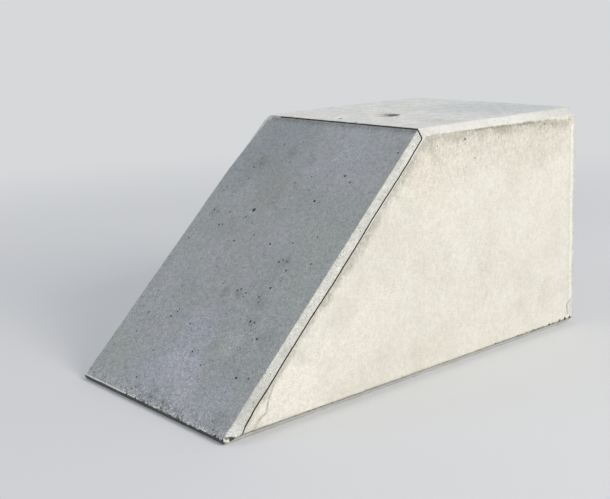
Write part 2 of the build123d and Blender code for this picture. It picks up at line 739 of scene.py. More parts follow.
# It swells and narrows at random, by the girth of each stretch, and closes towards its ends
swells = random_pattern(joint_tree, None, joint_swells_per_metre, 2.0)[0]
swelling = map_range(joint_tree, swells, target=joint_swelling)
way = joint_tree.nodes.new("GeometryNodeSplineParameter").outputs["Factor"]
nearest_end = work_out(joint_tree, "MINIMUM", way, work_out(joint_tree, "SUBTRACT", 1.0, way))
closing = map_range(joint_tree, nearest_end, (0.0, start["End Taper"]), (joint_end_share, 1.0))
radius = work_out(joint_tree, "MULTIPLY", swelling, carried(joint_tree, "girth"))
radius = work_out(joint_tree, "MULTIPLY", radius, closing)
curve = place_node(joint_tree, "GeometryNodeSetCurveRadius", {"Curve": curve, "Radius": radius})
half = work_out(joint_tree, "MULTIPLY", start["Width"], 0.5)
section_size = place_node(joint_tree, "ShaderNodeCombineXYZ", {"X": start["Depth"], "Y": half, "Z": 1.0})
section = place_node(joint_tree, "GeometryNodeCurvePrimitiveCircle", {"Resolution": 6, "Radius": 1.0})
section = place_node(joint_tree, "GeometryNodeTransform", {"Geometry": section, "Scale": section_size})
inputs = {"Curve": curve, "Profile Curve": section, "Fill Caps": True}
crevice = place_node(joint_tree, "GeometryNodeCurveToMesh", inputs)
end_shape(joint_tree, crevice, start["Finish"], end)

# It opens widest under the top edge, and grout closes it at the nose's upper left corner
top_climb = joint_climbs[-1]
left_end_climb = 0.64
right_path = joint_outline + [
    (top_climb, 0.218, 1.0), (top_climb, 0.195, 2.1), (top_climb, 0.02, 2.2), (top_climb, -0.12, 1.9),
    (top_climb, -0.179, 1.5),
]
left_path = [(climb, -reach, girth) for climb, reach, girth in joint_outline if climb < left_end_climb]
joint_path = right_path + left_path
joint_points, joint_outwards = zip(*[on_nose(climb, reach) for climb, reach, girth in joint_path])
joint_girths = [girth for climb, reach, girth in joint_path]
joint_steps = [(step, step + 1) for step in range(len(joint_path) - 1) if step != len(right_path) - 1]
joint_dirt_and_shade_material = bpy.data.materials.new("joint_dirt")
mould_joint = marked_piece(
    "mould_joint", joint_points, joint_steps, {"outward": joint_outwards, "girth": joint_girths}
)
run_tree(mould_joint, joint_tree, {
    "Width": joint_width, "Depth": joint_depth, "Wander": joint_wander, "Step": joint_step,
    "End Taper": joint_taper, "Finish": joint_dirt_and_shade_material,
})
cut_away(mould_joint)


# Chipped edges, where the stone was knocked as it was stripped from the mould and moved.
# Each chip is a small uneven lump broken out of an edge; the toe and the lower back corners have the most.
# Every edge is (start, end, outward direction, wear at the start, wear at the end).
upward = Vector((0, 0, 1))
backward = Vector((0, 1, 0))
rarity_of_large_chips = 2.5
chip_stretch = (0.8, 2.2)
chip_edges = []
for side in (-1, 1):
    sideways = Vector((side, 0, 0))
    directions = (slope_outward + upward, backward + upward, backward - upward, -upward - backward)
    shares = ((0, 1), (1, 1), (1, 0), (0, 0))
    wears = (0.02, 0.02, 0.3, 0.35)
    for across in (flat_half_width, half_width):
        for number in range(4):
            following = (number + 1) % 4
            if number in (1, 3) and across == flat_half_width:
                continue
            direction = (directions[number] + directions[following] + sideways).normalized()
            chip_edges.append((
                block_point(side * across, *shares[number]), block_point(side * across, *shares[following]),
                direction, wears[number], wears[following],
            ))
for middle, direction, first_wear, second_wear in (
    (Vector((0, slope_top_y, height)), slope_outward + upward, 0.0, 0.0),
    (Vector((0, back_y, height)), backward + upward, 0.4, 0.4),
    (Vector((0, back_y, 0)), backward - upward, 0.6, 0.6),
    (toe_ridge, -backward, 0.2, 1.6),
):
    ends = [middle + Vector((side * flat_half_width, 0, 0)) for side in (-1, 1)]
    chip_edges.append((*ends, direction.normalized(), first_wear, second_wear))

chip_tree, start, end = shape_tree(
    "edge_chips", Float="Spacing, Smallest, Largest, Share, Lift", Int="Seed", Material="Finish"
)
curve = place_node(chip_tree, "GeometryNodeMeshToCurve", {"Mesh": start["Geometry"]})
steps = {"Curve": curve, "Length": start["Spacing"]}
places = place_node(chip_tree, "GeometryNodeCurveToPoints", steps, mode="LENGTH")
likely = work_out(chip_tree, "MULTIPLY", carried(chip_tree, "wear"), start["Share"])
points = leave_out(chip_tree, places, random_value(chip_tree, start["Seed"]), "GREATER_THAN", likely)
width = mostly_small(chip_tree, 21, rarity_of_large_chips, start["Smallest"], start["Largest"])
lift = work_out(chip_tree, "MULTIPLY", width, start["Lift"])
outside = work_out_vector(chip_tree, "SCALE", carried(chip_tree, "outward", "FLOAT_VECTOR"), lift)
points = place_node(chip_tree, "GeometryNodeSetPosition", {"Geometry": points, "Offset": outside})
stretch = random_value(chip_tree, 31, *chip_stretch)
stand_lumps(chip_tree, points, width, stretch, 1.0, start["Finish"], end)


def break_edges(name, edges, values):
    """Breaks small lumps out of the stone along edges."""
    ends = [point for edge in edges for point in edge[:2]]
    joined = [(number, number + 1) for number in range(0, len(ends), 2)]
    wears = [wear for edge in edges for wear in edge[3:]]
    outwards = [edge[2] for edge in edges for number in range(2)]
    lumps = marked_piece(name, ends, joined, {"wear": wears, "outward": outwards})
    run_tree(lumps, chip_tree, values)
    cut_away(lumps)


chip_material = bpy.data.materials.new("broken_edge")
break_edges("edge_chips", chip_edges, {
    "Spacing": 0.006, "Smallest": 0.0022, "Largest": 0.01, "Share": 0.26, "Lift": 0.27, "Seed": 17,
    "Finish": chip_material,
})

# Notches in the ridge of the toe, given the toe face's near-black finish as painted shade for the shadow
# under it
notched_from_x = -0.075
notched_ridge = [toe_ridge + Vector((x, 0, 0)) for x in (notched_from_x, flat_half_width)]
break_edges("toe_notches", [(*notched_ridge, (-backward - upward).normalized(), 1.3, 0.8)], {
    "Spacing": 0.0045, "Smallest": 0.003, "Largest": 0.0092, "Share": 0.6, "Lift": 0.12, "Seed": 5,
    "Finish": block_materials["toe_face"],
})

# Pits in a row along the lower edge of the right side, small ones and then larger ones by the back corner
pitted_from_y = 0.22
pitted_to_y = 0.385
base_edge_outward = (side_outward - upward).normalized()
pitted_edge = [Vector((half_width, y, side_chamfer)) for y in (pitted_from_y, pitted_to_y)]
# The pits take the joint's dark finish: dirt together with painted shade inside them.
break_edges("base_pits", [(*pitted_edge, base_edge_outward, 0.6, 1.4)], {
    "Spacing": 0.008, "Smallest": 0.0032, "Largest": 0.0056, "Share": 0.8, "Lift": 0.0, "Seed": 8,
    "Finish": joint_dirt_and_shade_material,
})

# Larger knocks: (where it is, which way it faces, how wide it is, how far out it stands for its width)
nose_edge_outward = (slope_outward + upward).normalized()
strip_outward = (side_outward + slope_outward).normalized()
corner_inset = 0.007
back_corner = Vector((half_width - corner_inset, back_y, height - corner_inset))
knocks = [
    (back_corner, Vector((1, 1.2, 1)).normalized(), 0.036, 0.24),
    (Vector((-0.222, slope_top_y, height)), Vector((-1, -0.5, 1)).normalized(), 0.018, 0.15),
    (Vector((-0.214, slope_top_y, height)), nose_edge_outward, 0.012, 0.25),
]

# Dark nicks where the photograph shows them: larger pits at the end of the row, two by the nose's upper
# left corner and the void in the toe's right corner
# The dark nicks take the joint's dark finish: dirt together with painted shade inside them.
large_pits_row = 323
large_pits = [(549.3, 0.007), (553.2, 0.0062), (559.5, 0.0084), (564.7, 0.0086), (569.3, 0.0084)]
top_nick = on_top(340.6, 118.4)
top_edge_nick = on_top(356.0, 122.1)
toe_nick = on_nose(0.0088, 0.25)[0]
dark_nicks = [
    (Vector((half_width, on_side(column, large_pits_row).y, side_chamfer)), base_edge_outward, width, 0.0)
    for column, width in large_pits
]
dark_nicks += [
    (top_nick, top_outward, 0.01, -0.12),
    (top_edge_nick, nose_edge_outward, 0.008, 0.1),
    (toe_nick, strip_outward, 0.0125, 0.05),
]
for name, places, finish in (
    ("edge_knocks", knocks, chip_material),
    ("dark_nicks", dark_nicks, joint_dirt_and_shade_material),
):
    places = [(point + outward * width * out, outward, width) for point, outward, width, out in places]
    broken = marked_points(name, places)
    run_tree(broken, hole_tree, {"Keep Apart": 0.0, "Depth": 0.9, "Seed": 2, "Finish": finish})
    cut_away(broken)

# The cuts leave a few slivers that hang on nothing, and these drop off, so that one closed body is left
body = bmesh.new()
body.from_mesh(kerb_stone.data)
bodies = []
for vertex in body.verts:
    if vertex.tag:
        continue
    vertex.tag = True
    bodies.append([vertex])
    for reached in bodies[-1]:
        for edge in reached.link_edges:
            neighbour = edge.other_vert(reached)
            if not neighbour.tag:
                neighbour.tag = True
                bodies[-1].append(neighbour)
bodies.sort(key=len)
bmesh.ops.delete(body, geom=[vertex for sliver in bodies[:-1] for vertex in sliver], context="VERTS")
body.to_mesh(kerb_stone.data)
body.free()

crease_angle = math.radians(28)
kerb_stone.data.shade_smooth()
kerb_stone.data.set_sharp_from_angle(angle=crease_angle)


# Cement finishes: one pale concrete, which each face of the mould left a little different.
# The nose is smooth, clouded and a darker blue-grey, partly its own tone and partly painted shade; the sides
# are cream; the top is trowelled and light grey.
def tone(red, green, blue):
    """A colour as it looks on a screen, 0 to 255, in the linear values that a shader takes."""
    values = []
    for part in (red, green, blue):
        part = part / 255
        values.append(part / 12.92 if part <= 0.04045 else ((part + 0.055) / 1.055) ** 2.4)
    return (*values, 1.0)


def blend_colours(tree, share, first, second):
    """Two colours mixed by a share from 0, all the first, to 1, all the second."""
    return place_node(tree, "ShaderNodeMix", {0: share, 6: first, 7: second}, data_type="RGBA").outputs[2]


def mark_tree(name, places):
    """An effect that puts out where a mark shows. A drift moves the place about, so that marks are ragged."""
    inputs = {"Vector": "Place, Drift, " + places, "Float": "Raggedness, Strength, Speckle, Size"}
    tree, start, end = named_tree(name, "ShaderNodeTree", inputs, {"Float": "Mask"})
    shift = work_out_vector(tree, "SCALE", start["Drift"], start["Raggedness"])
    return tree, start, end, work_out_vector(tree, "ADD", start["Place"], shift)


def end_mark(tree, start, end, distance, full_share=0.0):
    """Fades a mark out softly towards its size, speckles it and puts out its mask."""
    share = work_out(tree, "DIVIDE", distance, start["Size"])
    fading = map_range(tree, share, (full_share, 1.0), (1.0, 0.0), "SMOOTHSTEP")
    strong = work_out(tree, "MULTIPLY", fading, start["Strength"])
    tree.links.new(work_out(tree, "MULTIPLY", strong, start["Speckle"], clamp=True), end["Mask"])


# A soft patch round a point, such as a cloud in the cement skin
patch_tree, start, end, place = mark_tree("soft_patch", "Centre")
away = work_out_vector(patch_tree, "DISTANCE", place, start["Centre"])
end_mark(patch_tree, start, end, away, full_share=0.25)

# A band along a straight edge, strongest at the edge and gone at its depth
band_tree, start, end, place = mark_tree("edge_band", "Edge, Inward")
offset = work_out_vector(band_tree, "SUBTRACT", place, start["Edge"])
end_mark(band_tree, start, end, work_out_vector(band_tree, "DOT_PRODUCT", offset, start["Inward"]))

# A stain along a straight line between two points
line_tree, start, end, place = mark_tree("stain_line", "Start, End")
along = work_out_vector(line_tree, "SUBTRACT", start["End"], start["Start"])
offset = work_out_vector(line_tree, "SUBTRACT", place, start["Start"])
ahead = work_out_vector(line_tree, "DOT_PRODUCT", offset, along)
square = work_out_vector(line_tree, "DOT_PRODUCT", along, along)
foot = work_out_vector(line_tree, "SCALE", along, work_out(line_tree, "DIVIDE", ahead, square, clamp=True))
end_mark(line_tree, start, end, work_out_vector(line_tree, "DISTANCE", offset, foot))

# Clouds of two other tones in the cement skin
cloud_edge = (0.42, 0.68)
cloud_tree, start, end = named_tree("cement_clouds", "ShaderNodeTree", {
    "Vector": "Place", "Color": "Colour, First Cloud, Second Cloud", "Float": "Size",
}, {"Color": "Colour"})
clouded = start["Colour"]
for cloud, shift in (("First Cloud", (0, 0, 0)), ("Second Cloud", (3.7, 1.9, 5.3))):
    shifted = work_out_vector(cloud_tree, "ADD", start["Place"], shift)
    share = map_range(cloud_tree, random_pattern(cloud_tree, shifted, start["Size"], 5.0, 0.6)[0], cloud_edge)
    clouded = blend_colours(cloud_tree, share, clouded, start[cloud])
cloud_tree.links.new(clouded, end["Colour"])

# Sand grain: fine light and dark grains over a blurred mottle, and the small relief that goes with them
middling_share = 0.45
grain_tree, start, end = named_tree("sand_grain", "ShaderNodeTree", {
    "Vector": "Place", "Color": "Colour", "Float": "Strength, Mottle",
}, {"Color": "Colour", "Float": "Relief"})
fine, middling, coarse = [
    random_pattern(grain_tree, start["Place"], per_metre, detail, 0.68)[0]
    for per_metre, detail in ((420.0, 3.0), (130.0, 2.0), (48.0, 2.0))
]
both = work_out(grain_tree, "MULTIPLY_ADD", middling, middling_share, fine)
uneven = work_out(grain_tree, "SUBTRACT", both, (1 + middling_share) / 2)
lift = work_out(grain_tree, "MULTIPLY_ADD", uneven, start["Strength"], 1.0)
mottled = work_out(grain_tree, "SUBTRACT", coarse, 0.5)
lift = work_out(grain_tree, "MULTIPLY_ADD", mottled, start["Mottle"], lift)
grain_tree.links.new(work_out_vector(grain_tree, "SCALE", start["Colour"], lift), end["Colour"])
grain_tree.links.new(both, end["Relief"])

# Specks: small round spots in some of the cells of a pattern
speck_tree, start, end = named_tree("specks", "ShaderNodeTree", {
    "Vector": "Place", "Float": "Per Metre, Share, Size",
}, {"Float": "Mask"})
shift = uneven_by(speck_tree, start["Place"], 300.0, 0.003)
moved = work_out_vector(speck_tree, "ADD", start["Place"], shift)
cells = place_node(speck_tree, "ShaderNodeTexVoronoi", {"Vector": moved, "Scale": start["Per Metre"]}).outputs
chance = place_node(speck_tree, "ShaderNodeSeparateColor", {0: cells["Color"]}).outputs
chosen = work_out(speck_tree, "LESS_THAN", chance["Red"], start["Share"])
size = work_out(speck_tree, "MULTIPLY", chance["Green"], start["Size"])
inside = map_range(speck_tree, cells["Distance"], (0.0, size), (1.0, 0.0), "SMOOTHSTEP")
speck_tree.links.new(work_out(speck_tree, "MULTIPLY", inside, chosen), end["Mask"])


def use_effect(tree, effect, **values):
    """Places a shared effect in a finish. Its inputs are named with underscores for spaces."""
    inputs = {name.replace("_", " ").title(): value for name, value in values.items()}
    return place_node(tree, "ShaderNodeGroup", inputs, node_tree=effect).outputs


def start_finish(material, tones, cloud_size):
    """Clears a material. Gives its tree, its shader, a place in the stone and its tone with two clouds."""
    material.use_nodes = True
    tree = material.node_tree
    tree.nodes.clear()
    surface = place_node(tree, "ShaderNodeBsdfPrincipled", {"Roughness": 0.9, "Specular IOR Level": 0.3})
    place_node(tree, "ShaderNodeOutputMaterial", {0: surface})
    place = tree.nodes.new("ShaderNodeTexCoord").outputs["Object"]
    colour, first_cloud, second_cloud = [tone(*values) for values in tones]
    clouds = use_effect(
        tree, cloud_tree, place=place, colour=colour, first_cloud=first_cloud, second_cloud=second_cloud,
        size=cloud_size,
    )
    return tree, surface, place, clouds["Colour"]


def start_marks(tree, place):
    """What all marks on a face share: the place, the drift that makes them ragged and the speckle in them."""
    speckle = map_range(tree, random_pattern(tree, place, 210.0, 3.0, 0.65)[0], (0.36, 0.64), (0.35, 1.55))
    return {"place": place, "drift": uneven_by(tree, place, 32.0, 1.0), "speckle": speckle}


# The kinds of mark, with what each is placed by and how ragged it is for its size
mark_kinds = {
    "patch": (patch_tree, ("centre",), 1.4),
    "band": (band_tree, ("edge", "inward"), 0.8),
    "line": (line_tree, ("start", "end"), 1.6),
}


def mark_share(tree, shared, kind, places, size, strength, raggedness=None):
    """How strongly a mark shows, from its place or places, its size and its strength."""
    effect, names, ragged_share = mark_kinds[kind]
    if raggedness is None:
        raggedness = size * ragged_share
    values = {**shared, **dict(zip(names, places))}
    return use_effect(tree, effect, **values, size=size, strength=strength, raggedness=raggedness)["Mask"]


def lay_marks(tree, shared, colour, kind, marks):
    """Lays marks of one kind over a colour: (its place or places, size, colour, strength)."""
    for *places, size, mark, strength in marks:
        colour = blend_colours(tree, mark_share(tree, shared, kind, places, size, strength), colour, mark)
    return colour


def shown_marks(shown_at, marks):
    """Marks with points in place of the columns and rows where they show in the photograph."""
    shown = []
    for *places, size, mark, strength in marks:
        points = [shown_at(*place) for place in zip(places[::2], places[1::2])]
        shown.append((*points, size, mark, strength))
    return shown


def finish_face(tree, surface, place, colour, grain, mottle, speck_share, speck_tone, relief_height=0.0003):
    """Adds grain and dark specks to a face's colour, and feeds the colour and the relief to its shader."""
    grained = use_effect(tree, grain_tree, place=place, colour=colour, strength=grain, mottle=mottle)
    specks = use_effect(tree, speck_tree, place=place, per_metre=150.0, share=speck_share, size=0.34)
    speckled = blend_colours(tree, specks["Mask"], grained["Colour"], speck_tone)
    tree.links.new(speckled, surface.inputs["Base Color"])
    inputs = {"Height": grained["Relief"], "Distance": relief_height, "Strength": 1.0}
    tree.links.new(place_node(tree, "ShaderNodeBump", inputs).outputs[0], surface.inputs["Normal"])


# The sloped face: blue-grey from the steel board and partly as painted shade, clouded with lavender, green
# and brown tones, darker towards the top left, with pitted patches, pale grains and a painted shadow under
# the top edge
lavender = tone(176, 178, 189)
pale_lavender = tone(186, 187, 196)
green_grey = tone(166, 174, 170)
brown_grey = tone(158, 159, 155)
pink_grey = tone(168, 169, 169)
olive_grey = tone(167, 173, 168)
slate_grey = tone(150, 157, 161)
dark_grey = tone(112, 115, 112)
pale_grey = tone(192, 195, 196)
pale_corner = tone(222, 222, 217)
slope_patches = shown_marks(on_slope, [
    (285, 140, 0.16, slate_grey, 0.6), (250, 165, 0.1, slate_grey, 0.45),
    (165, 375, 0.12, lavender, 0.75), (182, 362, 0.07, pale_lavender, 0.6),
    (200, 330, 0.07, lavender, 0.6), (215, 400, 0.07, lavender, 0.5), (355, 152, 0.08, lavender, 0.5),
    (320, 240, 0.13, green_grey, 0.7), (300, 290, 0.1, green_grey, 0.7),
    (262, 335, 0.09, green_grey, 0.6), (195, 258, 0.06, green_grey, 0.6),
    (118, 352, 0.08, olive_grey, 0.8), (218, 352, 0.05, olive_grey, 0.5),
    (275, 190, 0.09, brown_grey, 0.7), (262, 165, 0.05, brown_grey, 0.5),
    (243, 250, 0.11, pink_grey, 0.7), (222, 285, 0.08, pink_grey, 0.6),
    (226, 291, 0.02, dark_grey, 0.3), (240, 291, 0.018, dark_grey, 0.3),
    (260, 303, 0.024, dark_grey, 0.25), (287, 261, 0.024, dark_grey, 0.25),
    (252, 322, 0.016, dark_grey, 0.25), (266, 340, 0.03, dark_grey, 0.18),
    (292, 152, 0.022, dark_grey, 0.22), (261, 163, 0.024, dark_grey, 0.28),
    (312, 160, 0.022, dark_grey, 0.18), (336, 159, 0.012, pale_grey, 0.5),
    (214, 212, 0.02, dark_grey, 0.25), (194, 352, 0.016, dark_grey, 0.25),
    (152, 394, 0.02, dark_grey, 0.3), (164, 400, 0.01, dark_grey, 0.3),
    (222, 421, 0.03, dark_grey, 0.2), (412, 130.5, 0.014, dark_grey, 0.45),
    (228, 226, 0.05, brown_grey, 0.45), (186, 390, 0.05, pale_lavender, 0.7),
    (232, 345, 0.034, pale_grey, 0.35),
])
# The dark line just under the top edge is a painted shadow under the top's lip
slope_lines = shown_marks(on_slope, [
    (128, 386, 168, 402, 0.01, dark_grey, 0.15), (240, 350, 222, 367, 0.004, dark_grey, 0.25),
    (332, 119.6, 408, 127.8, 0.008, dark_grey, 0.6), (270.5, 118.2, 274, 116.4, 0.01, pale_corner, 0.9),
    (274, 116, 279.5, 116.2, 0.007, pale_corner, 0.9),
])
pitted_patches = [
    (226, 291, 0.03), (243, 291, 0.03), (284, 262, 0.032), (252, 322, 0.026), (262, 300, 0.03),
    (216, 363, 0.026), (248, 335, 0.05), (290, 152, 0.03), (262, 163, 0.034), (216, 213, 0.03),
    (313, 203, 0.026),
]
right_edge = Vector((flat_half_width, 0, 0))
shadow_start = Vector((flat_half_width - 0.03, 0, 0))
shadow_middle = toe_ridge + slope_upward * (slope_length - 0.008)
left_toe = toe_ridge - right_edge
left_top = toe_ridge + slope_upward * slope_length - right_edge
# The first of these is a painted shadow along the top edge; the second is a pale line up the left edge
slope_lines += [
    (shadow_middle - shadow_start, shadow_middle + right_edge, 0.012, dark_grey, 0.45),
    (left_toe, left_top, 0.003, pale_grey, 0.6),
]
# The base tones are darker and bluer than the sides' partly as painted shade, for a face turned away from the
# light
tree, surface, place, colour = start_finish(
    block_materials["slope"], ((167, 171, 172), (160, 165, 164), (173, 175, 179)), 9.0
)
shared = start_marks(tree, place)
colour = lay_marks(tree, shared, colour, "patch", slope_patches)
colour = lay_marks(tree, shared, colour, "line", slope_lines)
pale_specks = use_effect(tree, speck_tree, place=place, per_metre=170.0, share=0.16, size=0.4)
pale_share = work_out(tree, "MULTIPLY", pale_specks["Mask"], 0.6)
colour = blend_colours(tree, pale_share, colour, tone(208, 211, 211))
pits = use_effect(tree, speck_tree, place=place, per_metre=170.0, share=0.5, size=0.6)
for column, row, radius in pitted_patches:
    patch = mark_share(tree, shared, "patch", [on_slope(column, row)], radius, 0.9)
    pitted = work_out(tree, "MULTIPLY", pits["Mask"], patch)
    colour = blend_colours(tree, pitted, colour, tone(100, 103, 101))

# Just above the toe the grout is streaked light and dark, up and down the slope
toe_line = (toe_ridge, slope_upward)
crumbly = mark_share(tree, shared, "band", toe_line, size=0.038, strength=1.6, raggedness=0.02)
stretched = work_out_vector(tree, "MULTIPLY", place, (1.0, 0.5, 0.5))
for shift, mark in ((0.0, tone(86, 88, 85)), (0.37, tone(210, 212, 209))):
    moved = work_out_vector(tree, "ADD", stretched, (shift, 0, 0))
    streaks = use_effect(tree, speck_tree, place=moved, per_metre=230.0, share=0.45, size=0.62)
    streaked = work_out(tree, "MULTIPLY", streaks["Mask"], crumbly)
    colour = blend_colours(tree, work_out(tree, "MULTIPLY", streaked, 0.9), colour, mark)

# White crumbs of grout cling to the edge itself
edge_crumbs = mark_share(tree, shared, "band", toe_line, size=0.012, strength=2.0, raggedness=0.006)
crumb_spots = use_effect(tree, speck_tree, place=place, per_metre=230.0, share=0.6, size=1.0)
crumbed = work_out(tree, "MULTIPLY", crumb_spots["Mask"], edge_crumbs)
colour = blend_colours(tree, crumbed, colour, tone(226, 226, 221))
rough = mark_share(tree, shared, "band", toe_line, size=0.4, strength=0.45, raggedness=0.08)
grain = work_out(tree, "MULTIPLY_ADD", crumbly, 1.1, work_out(tree, "ADD", rough, 1.45))
speck_grey = tone(104, 106, 104)
finish_face(tree, surface, place, colour, grain, mottle=0.16, speck_share=0.18, speck_tone=speck_grey)

# The long sides: cream and close to smooth. Dirt has run under the top strip and along the joint, and the
# back edge is worn grey with a brighter line before it.
warm_white = tone(243, 238, 226)
bright_cream = tone(250, 247, 238)
cream_grey = tone(214, 210, 197)
pink_cream = tone(232, 221, 209)
green_cream = tone(215, 219, 197)
stain_grey = tone(150, 147, 134)
stain_olive = tone(176, 174, 157)
dull_cream = tone(187, 185, 171)
worn_grey = tone(198, 198, 194)
crack_brown = tone(182, 176, 158)
side_patches = shown_marks(on_side, [
    (290, 385, 0.15, warm_white, 0.85), (360, 330, 0.12, warm_white, 0.4),
    (425, 168, 0.07, pink_cream, 0.6), (440, 190, 0.07, pink_cream, 0.4),
    (405, 205, 0.024, green_cream, 0.4), (536, 146, 0.07, cream_grey, 0.95),
    (500, 150, 0.05, cream_grey, 0.4), (555, 145, 0.04, cream_grey, 0.75),
    (521, 141, 0.034, pink_cream, 0.45), (549, 146, 0.03, pink_cream, 0.45),
    (562, 146, 0.026, pink_cream, 0.45), (446, 258, 0.026, cream_grey, 0.4),
    (484, 272, 0.034, cream_grey, 0.4), (486, 290, 0.018, cream_grey, 0.5),
    (525, 275, 0.05, cream_grey, 0.4), (545, 290, 0.05, cream_grey, 0.4),
    (520, 308, 0.03, cream_grey, 0.4), (346, 315, 0.04, cream_grey, 0.4),
    (415, 350, 0.03, cream_grey, 0.4), (302, 353, 0.03, green_cream, 0.4),
])
side_lines = shown_marks(on_side, [
    (290, 357, 275.5, 382, 0.006, dull_cream, 0.45), (275.5, 382, 268.8, 398, 0.0036, crack_brown, 0.75),
    (268.8, 398, 266.1, 412.7, 0.0036, crack_brown, 0.75),
    (266.1, 412.7, 259, 420, 0.0036, crack_brown, 0.75), (259, 420, 255.5, 428, 0.006, dull_cream, 0.75),
    (500, 125.3, 568, 116, 0.007, warm_white, 0.8),
])


def edge_place(along, z):
    """A point of the right side near its top strip, its base strip or its back edge."""
    return Vector((half_width, along, z))


under_strip_stains = shown_marks(on_side, [
    (428, 137, 436, 160, 0.018, dull_cream, 0.4), (432, 136.5, 500, 128.5, 0.022, dull_cream, 0.75),
    (500, 129, 568, 121, 0.024, dull_cream, 0.62), (449, 136, 464, 136, 0.016, stain_olive, 0.55),
    (495, 129.5, 511, 128.5, 0.012, stain_olive, 0.75), (526, 124.5, 556, 122.5, 0.01, stain_olive, 0.6),
    (556, 121.5, 569, 123, 0.01, stain_olive, 0.45),
])
strip_stains = shown_marks(on_side, [
    (432, 135, 476, 129.6, 0.0035, stain_grey, 0.35), (476, 129.4, 504, 126.4, 0.0045, stain_grey, 0.85),
    (504, 126.4, 534, 122.9, 0.0045, stain_grey, 0.8), (534, 122.9, 557, 119, 0.004, stain_grey, 0.35),
])
side_lines += under_strip_stains + strip_stains
side_lines += [
    (edge_place(back_y - 0.0215, 0.06), edge_place(back_y - 0.0215, 0.47), 0.008, green_cream, 0.5),
    (edge_place(back_y - 0.013, 0.05), edge_place(back_y - 0.013, 0.46), 0.0038, bright_cream, 0.7),
    (edge_place(-0.46, side_chamfer), edge_place(0.49, side_chamfer), 0.005, dull_cream, 0.5),
]
side_lines += shown_marks(on_side, [
    (569.8, 302, 569.8, 312, 0.012, tone(214, 213, 206), 0.75),
    (566.8, 303.5, 567, 313.5, 0.0045, tone(170, 168, 146), 0.85),
    (567, 303, 571.5, 298, 0.004, tone(176, 175, 158), 0.75),
])

# How wide the dirt beside the joint is: (distance up the slope, the next distance, width, strength)
joint_dirt = [
    (0.7, 0.63, 0.04, 0.7), (0.63, 0.57, 0.03, 0.8), (0.57, 0.48, 0.024, 0.8), (0.48, 0.39, 0.028, 0.75),
    (0.39, 0.31, 0.024, 0.85), (0.31, 0.1, 0.014, 0.7), (0.1, 0.0, 0.014, 0.5),
]
for climb, next_climb, width, strength in joint_dirt:
    ends = [on_nose(up, flat_half_width + strip_width)[0] for up in (climb, next_climb)]
    side_lines.append((*ends, width, dull_cream, strength))
tinted_place = on_side(428, 165)
top_strip_line = (edge_place(0.0, height - side_chamfer), (0, 0, -1))
tree, surface, place, cream = start_finish(
    block_materials["side"], ((229, 225, 213), (223, 218, 205), (233, 229, 218)), 12.0
)
shared = start_marks(tree, place)
tints = use_effect(
    tree, cloud_tree, place=place, colour=cream, first_cloud=pink_cream, second_cloud=green_cream, size=110.0
)
tinted = mark_share(tree, shared, "patch", [tinted_place], size=0.11, strength=0.8, raggedness=0.1)
colour = blend_colours(tree, tinted, cream, tints["Colour"])
colour = lay_marks(tree, shared, colour, "band", [(*top_strip_line, 0.14, tone(213, 207, 194), 0.7)])
colour = lay_marks(tree, shared, colour, "patch", side_patches)
colour = lay_marks(tree, shared, colour, "line", side_lines)
worn_back = (edge_place(back_y, 0.0), (0, -1, 0), 0.011, worn_grey, 1.0)
colour = lay_marks(tree, shared, colour, "band", [worn_back])
rough = mark_share(tree, shared, "band", top_strip_line, size=0.16, strength=0.75, raggedness=0.08)
grain = work_out(tree, "ADD", rough, 0.84)
speck_brown = tone(150, 146, 130)
finish_face(tree, surface, place, colour, grain, mottle=0.05, speck_share=0.1, speck_tone=speck_brown)

# The trowelled top: light grey with faint streaks from the float, warmer at the nose's left end and
# greyer towards the back
top_patches = shown_marks(on_top, [
    (300, 114, 0.09, tone(232, 227, 222), 0.8), (420, 108, 0.1, tone(222, 225, 217), 0.6),
    (505, 107.5, 0.24, tone(203, 208, 209), 0.8), (440, 121, 0.07, tone(202, 204, 198), 0.5),
])
top_edge = [Vector((x, slope_top_y, height)) for x in (-0.2, flat_half_width)]
tree, surface, place, colour = start_finish(
    block_materials["top"], ((228, 228, 225), (212, 215, 214), (236, 234, 230)), 24.0
)
shared = start_marks(tree, place)
colour = lay_marks(tree, shared, colour, "patch", top_patches)
colour = lay_marks(tree, shared, colour, "line", [(*top_edge, 0.005, pale_grey, 0.4)])
finish_face(
    tree, surface, place, colour, 1.35, mottle=0.55, speck_share=0.24, speck_tone=tone(142, 142, 138),
    relief_height=0.0004,
)


def marked_finish(material, tones, cloud_size, grain, speck_share, bands=(), lines=(), mottle=0.1):
    """A cement finish of three tones, with clouds, grain, a few dark specks and any bands and lines."""
    tree, surface, place, colour = start_finish(material, tones, cloud_size)
    if bands or lines:
        shared = start_marks(tree, place)
        colour = lay_marks(tree, shared, colour, "band", bands)
        colour = lay_marks(tree, shared, colour, "line", lines)
    finish_face(tree, surface, place, colour, grain, mottle, speck_share, tone(118, 116, 106))


# The strip along the top is clean near the nose, duller towards the back and dirty at its lower edge
marked_finish(
    block_materials["edge_strip"], ((230, 228, 221), (221, 219, 211), (235, 233, 226)), 24.0, 0.6, 0.15,
    bands=[(edge_place(back_y, height), (0, -1, 0), 0.26, tone(209, 209, 203), 0.95)],
    lines=strip_stains,
)

# The strip on the nose is paler at the toe, where a crack runs to the dark void in the corner
toe_strip_point = toe_ridge + Vector((flat_half_width, 0, 0))
crack_row = 438.3
crack_columns = (226, 244)
crack = [seen_at(column, crack_row, toe_strip_point, strip_outward) for column in crack_columns]
marked_finish(
    block_materials["nose_strip"], ((222, 221, 213), (208, 209, 202), (232, 229, 219)), 24.0, 1.3, 0.6,
    bands=[
        (*toe_line, 0.2, tone(197, 198, 192), 0.8),
        (*toe_line, 0.07, tone(242, 241, 233), 0.95),
    ],
    lines=[(*crack, 0.004, tone(88, 86, 76), 1.0)],
    mottle=0.35,
)

